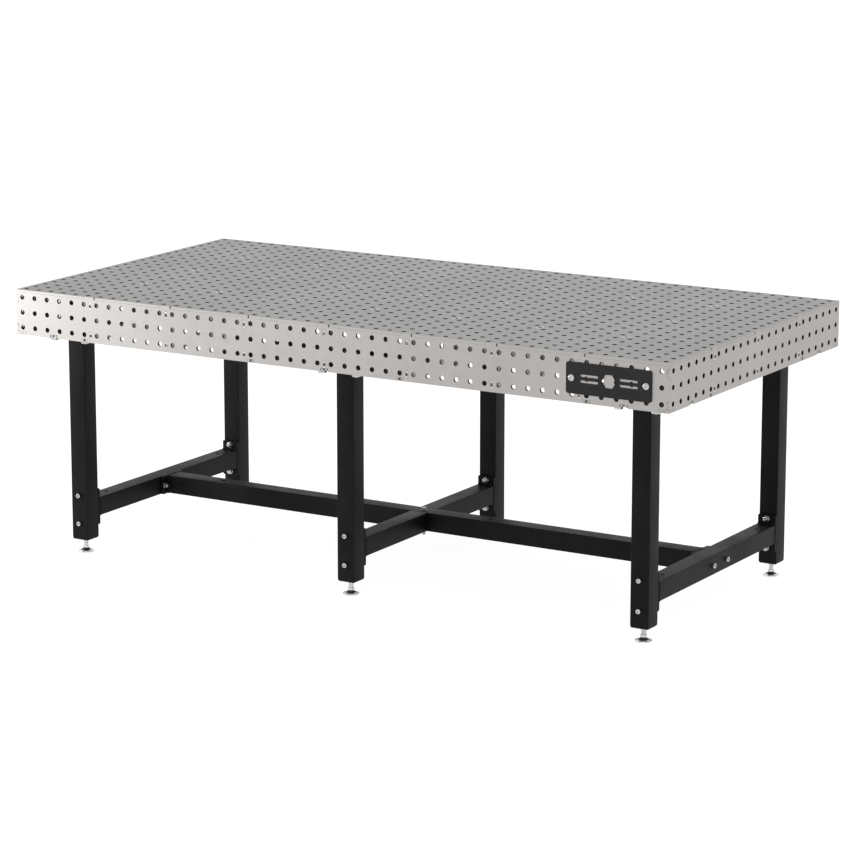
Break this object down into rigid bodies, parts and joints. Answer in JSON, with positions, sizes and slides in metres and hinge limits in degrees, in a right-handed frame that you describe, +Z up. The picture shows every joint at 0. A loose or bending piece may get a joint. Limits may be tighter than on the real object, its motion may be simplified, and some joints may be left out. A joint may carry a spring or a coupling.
{
  "type": "welding table",
  "caption": "Rectangular tab-and-slot steel welding table: perforated top and aprons, internal ribs, braced square tube legs and levelling feet.",
  "frame": {"origin": "on the floor under the middle of the table top, feet at mid travel", "axes": "+X along the length to the right seen from the nameplate side, +Y to the rear, away from the nameplate, +Z up"},
  "size_m": [2.4384, 1.2272, 0.9144],
  "materials": {
    "top_steel": "bare hot-rolled plate, satin, fine scratches",
    "apron_steel": "bare plate, satin, fine horizontal grain",
    "rib_steel": "bare plate, laser-cut edges",
    "black_coat": "black powder coat, satin",
    "nameplate_coat": "black powder coat, satin",
    "zinc": "bright zinc plate",
    "stud_chrome": "bright plated, rolled thread",
    "pad_chrome": "bright plated"
  },
  "bodies": {
    "table": {"top_plate": "top_steel", "front_apron": "apron_steel", "rear_apron": "apron_steel", "left_apron": "apron_steel", "right_apron": "apron_steel", "cross_rib_1": "rib_steel", "cross_rib_2": "rib_steel", "cross_rib_3": "rib_steel", "cross_rib_4": "rib_steel", "cross_rib_5": "rib_steel", "cross_rib_6": "rib_steel", "cross_rib_7": "rib_steel", "long_rib_front": "rib_steel", "long_rib_middle": "rib_steel", "long_rib_rear": "rib_steel", "mount_plate_front_left": "rib_steel", "mount_plate_front_middle": "rib_steel", "mount_plate_front_right": "rib_steel", "mount_plate_rear_left": "rib_steel", "mount_plate_rear_middle": "rib_steel", "mount_plate_rear_right": "rib_steel", "leg_front_left": "black_coat", "leg_front_middle": "black_coat", "leg_front_right": "black_coat", "leg_rear_left": "black_coat", "leg_rear_middle": "black_coat", "leg_rear_right": "black_coat", "leg_flanges": "black_coat", "leg_end_caps": "black_coat", "cross_stretcher_left": "black_coat", "cross_stretcher_right": "black_coat", "middle_stretcher_front": "black_coat", "middle_stretcher_rear": "black_coat", "long_stretcher": "black_coat", "centre_sleeve": "black_coat", "leg_end_plates": "black_coat", "tee_end_plates": "black_coat", "nameplate": "nameplate_coat", "flange_bolts": "zinc", "flange_washers": "zinc", "flange_nuts": "zinc", "tie_screws": "zinc", "tie_washers": "zinc", "tie_nuts": "zinc", "centre_bolt": "zinc", "nameplate_screws": "zinc", "nameplate_washers": "zinc", "nameplate_nuts": "zinc"},
    "pad_front_left": {"foot_pad_front_left": "pad_chrome"},
    "stud_front_left": {"foot_stud_front_left": "stud_chrome"},
    "pad_front_middle": {"foot_pad_front_middle": "pad_chrome"},
    "stud_front_middle": {"foot_stud_front_middle": "stud_chrome"},
    "pad_front_right": {"foot_pad_front_right": "pad_chrome"},
    "stud_front_right": {"foot_stud_front_right": "stud_chrome"},
    "pad_rear_left": {"foot_pad_rear_left": "pad_chrome"},
    "stud_rear_left": {"foot_stud_rear_left": "stud_chrome"},
    "pad_rear_middle": {"foot_pad_rear_middle": "pad_chrome"},
    "stud_rear_middle": {"foot_stud_rear_middle": "stud_chrome"},
    "pad_rear_right": {"foot_pad_rear_right": "pad_chrome"},
    "stud_rear_right": {"foot_stud_rear_right": "stud_chrome"}
  },
  "joints": [
    {"name": "level_front_left", "type": "slide", "parent": "table", "child": "pad_front_left", "axis": [0, 0, 1], "range_m": [-0.018, 0.016]},
    {"name": "stud_turn_front_left", "type": "hinge", "parent": "pad_front_left", "child": "stud_front_left", "pos_m": [-1.0668, -0.4572, 0], "axis": [0, 0, 1], "range_deg": [-3250, 2890]},
    {"name": "level_front_middle", "type": "slide", "parent": "table", "child": "pad_front_middle", "axis": [0, 0, 1], "range_m": [-0.018, 0.016]},
    {"name": "stud_turn_front_middle", "type": "hinge", "parent": "pad_front_middle", "child": "stud_front_middle", "pos_m": [0, -0.4572, 0], "axis": [0, 0, 1], "range_deg": [-3250, 2890]},
    {"name": "level_front_right", "type": "slide", "parent": "table", "child": "pad_front_right", "axis": [0, 0, 1], "range_m": [-0.018, 0.016]},
    {"name": "stud_turn_front_right", "type": "hinge", "parent": "pad_front_right", "child": "stud_front_right", "pos_m": [1.0668, -0.4572, 0], "axis": [0, 0, 1], "range_deg": [-3250, 2890]},
    {"name": "level_rear_left", "type": "slide", "parent": "table", "child": "pad_rear_left", "axis": [0, 0, 1], "range_m": [-0.018, 0.016]},
    {"name": "stud_turn_rear_left", "type": "hinge", "parent": "pad_rear_left", "child": "stud_rear_left", "pos_m": [-1.0668, 0.4572, 0], "axis": [0, 0, 1], "range_deg": [-3250, 2890]},
    {"name": "level_rear_middle", "type": "slide", "parent": "table", "child": "pad_rear_middle", "axis": [0, 0, 1], "range_m": [-0.018, 0.016]},
    {"name": "stud_turn_rear_middle", "type": "hinge", "parent": "pad_rear_middle", "child": "stud_rear_middle", "pos_m": [0, 0.4572, 0], "axis": [0, 0, 1], "range_deg": [-3250, 2890]},
    {"name": "level_rear_right", "type": "slide", "parent": "table", "child": "pad_rear_right", "axis": [0, 0, 1], "range_m": [-0.018, 0.016]},
    {"name": "stud_turn_rear_right", "type": "hinge", "parent": "pad_rear_right", "child": "stud_rear_right", "pos_m": [1.0668, 0.4572, 0], "axis": [0, 0, 1], "range_deg": [-3250, 2890]}
  ],
  "couplings": [
    {"joint": "stud_turn_front_left", "follows": "level_front_left", "rad_per_m": 3141.6},
    {"joint": "stud_turn_front_middle", "follows": "level_front_middle", "rad_per_m": 3141.6},
    {"joint": "stud_turn_front_right", "follows": "level_front_right", "rad_per_m": 3141.6},
    {"joint": "stud_turn_rear_left", "follows": "level_rear_left", "rad_per_m": 3141.6},
    {"joint": "stud_turn_rear_middle", "follows": "level_rear_middle", "rad_per_m": 3141.6},
    {"joint": "stud_turn_rear_right", "follows": "level_rear_right", "rad_per_m": 3141.6}
  ]
}
